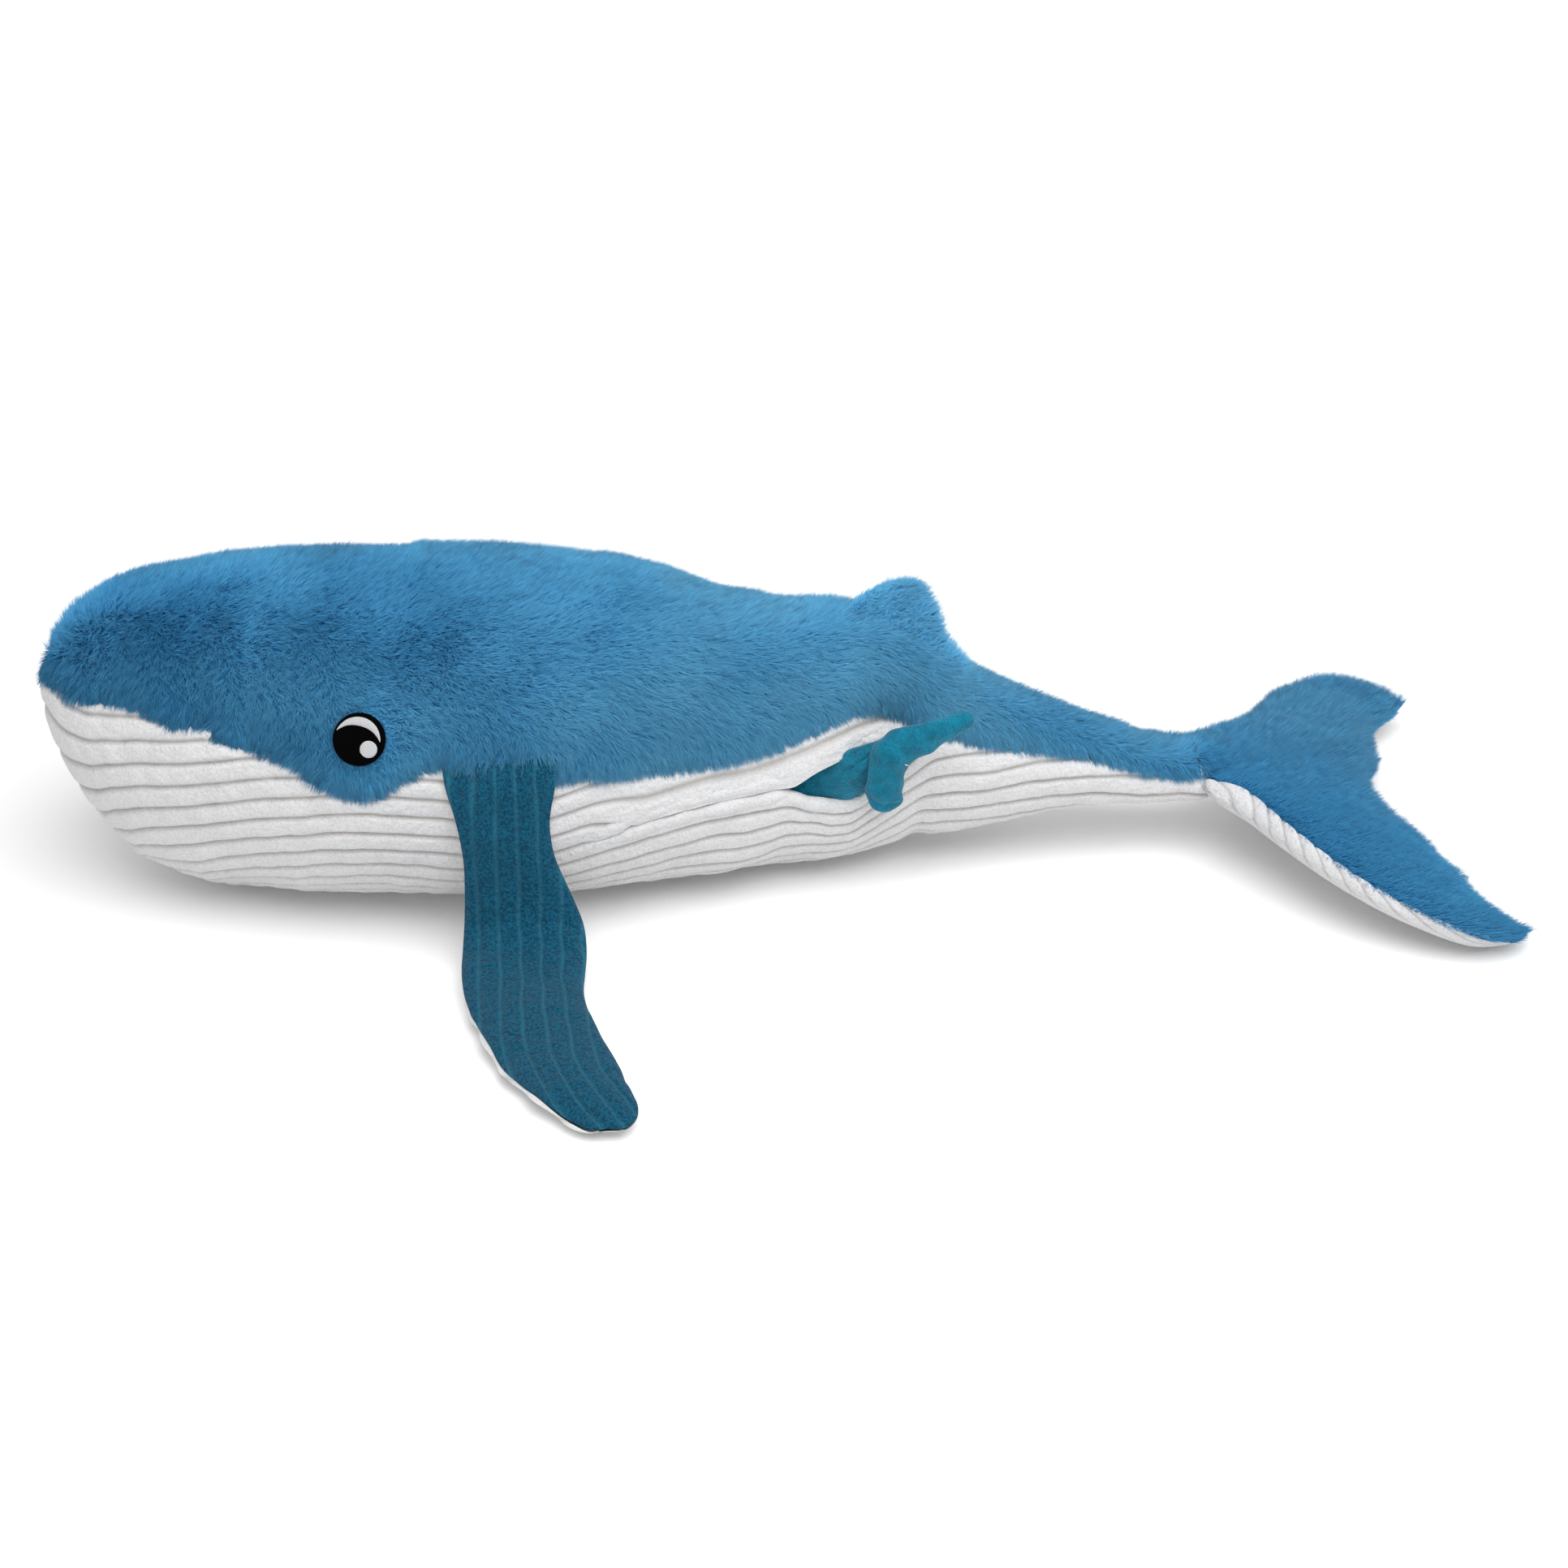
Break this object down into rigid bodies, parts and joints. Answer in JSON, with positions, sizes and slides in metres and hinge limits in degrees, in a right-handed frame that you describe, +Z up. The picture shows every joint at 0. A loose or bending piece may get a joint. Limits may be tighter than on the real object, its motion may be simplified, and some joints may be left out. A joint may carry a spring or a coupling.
{
  "type": "plush whale",
  "caption": "Long-pile plush whale lying on its belly, with ribbed underside, floppy flippers and flukes, and a side pouch that holds a small plush whale.",
  "frame": {"origin": "on the floor under the middle of the whale, halfway from the nose to the fluke tips", "axes": "+X towards the flukes, +Y towards the whale's right side, +Z up; the pouch is on the -Y side"},
  "size_m": [0.95, 0.7026, 0.217],
  "materials": {
    "blue_fur": "long pile plush",
    "white_rib": "ribbed short pile plush",
    "teal_rib": "ribbed short pile plush",
    "teal_plush": "short pile plush",
    "white_plush": "short pile plush",
    "pouch_cloth": "smooth knitted cloth",
    "fibre_filling": "loose fibre",
    "black_thread": "satin embroidery",
    "white_thread": "satin embroidery"
  },
  "bodies": {
    "whale": {"back_fur": "blue_fur", "belly_rib": "white_rib", "body_filling": "fibre_filling", "dorsal_fin_filling": "fibre_filling", "dorsal_fin_fur": "blue_fur", "left_eye_black": "black_thread", "left_eye_glint": "white_thread", "left_eye_white": "white_thread", "pouch_lining": "pouch_cloth", "pouch_lip_lower": "white_rib", "pouch_lip_upper": "white_rib", "right_eye_black": "black_thread", "right_eye_glint": "white_thread", "right_eye_white": "white_thread"},
    "left_flipper": {"left_flipper_filling": "fibre_filling", "left_flipper_top": "teal_rib", "left_flipper_under": "white_rib"},
    "right_flipper": {"right_flipper_filling": "fibre_filling", "right_flipper_top": "teal_rib", "right_flipper_under": "white_rib"},
    "tail": {"tail_filling": "fibre_filling", "tail_fur": "blue_fur", "tail_rib": "white_rib"},
    "flukes": {"flukes_fur": "blue_fur", "flukes_rib": "white_rib", "left_fluke_filling": "fibre_filling", "right_fluke_filling": "fibre_filling"},
    "small_whale": {"baby_back": "teal_plush", "baby_belly": "white_plush", "baby_filling": "fibre_filling", "baby_left_eye_black": "black_thread", "baby_left_eye_white": "white_thread", "baby_left_flipper": "teal_plush", "baby_right_eye_black": "black_thread", "baby_right_eye_white": "white_thread", "baby_right_flipper": "teal_plush"},
    "small_flukes": {"baby_flukes_filling": "fibre_filling", "baby_flukes_top": "teal_plush", "baby_flukes_under": "white_plush"}
  },
  "joints": [
    {"name": "left_flipper_swing", "type": "hinge", "parent": "whale", "child": "left_flipper", "pos_m": [-0.16534, -0.14398, 0.121], "axis": [-1, 0, 0], "range_deg": [0, 80]},
    {"name": "right_flipper_swing", "type": "hinge", "parent": "whale", "child": "right_flipper", "pos_m": [-0.16534, 0.14398, 0.121], "axis": [1, 0, 0], "range_deg": [0, 80]},
    {"name": "tail_bend", "type": "hinge", "parent": "whale", "child": "tail", "pos_m": [0.17488, 0, 0.06541], "axis": [0, -1, 0], "range_deg": [-12, 12], "stiffness_Nm_per_rad": 4},
    {"name": "fluke_bend", "type": "hinge", "parent": "tail", "child": "flukes", "pos_m": [0.295, 0, 0.05367], "axis": [0, -1, 0], "range_deg": [-15, 15], "stiffness_Nm_per_rad": 2},
    {"name": "small_whale_lift_out", "type": "slide", "parent": "whale", "child": "small_whale", "axis": [0, -1, 0], "range_m": [0, 0.09], "deforming": ["pouch_lip_upper", "pouch_lip_lower"]},
    {"name": "small_fluke_bend", "type": "hinge", "parent": "small_whale", "child": "small_flukes", "pos_m": [0.075, -0.08492, 0.11017], "axis": [-0.5446, 0, -0.8387], "range_deg": [0, 20], "stiffness_Nm_per_rad": 0.02}
  ]
}
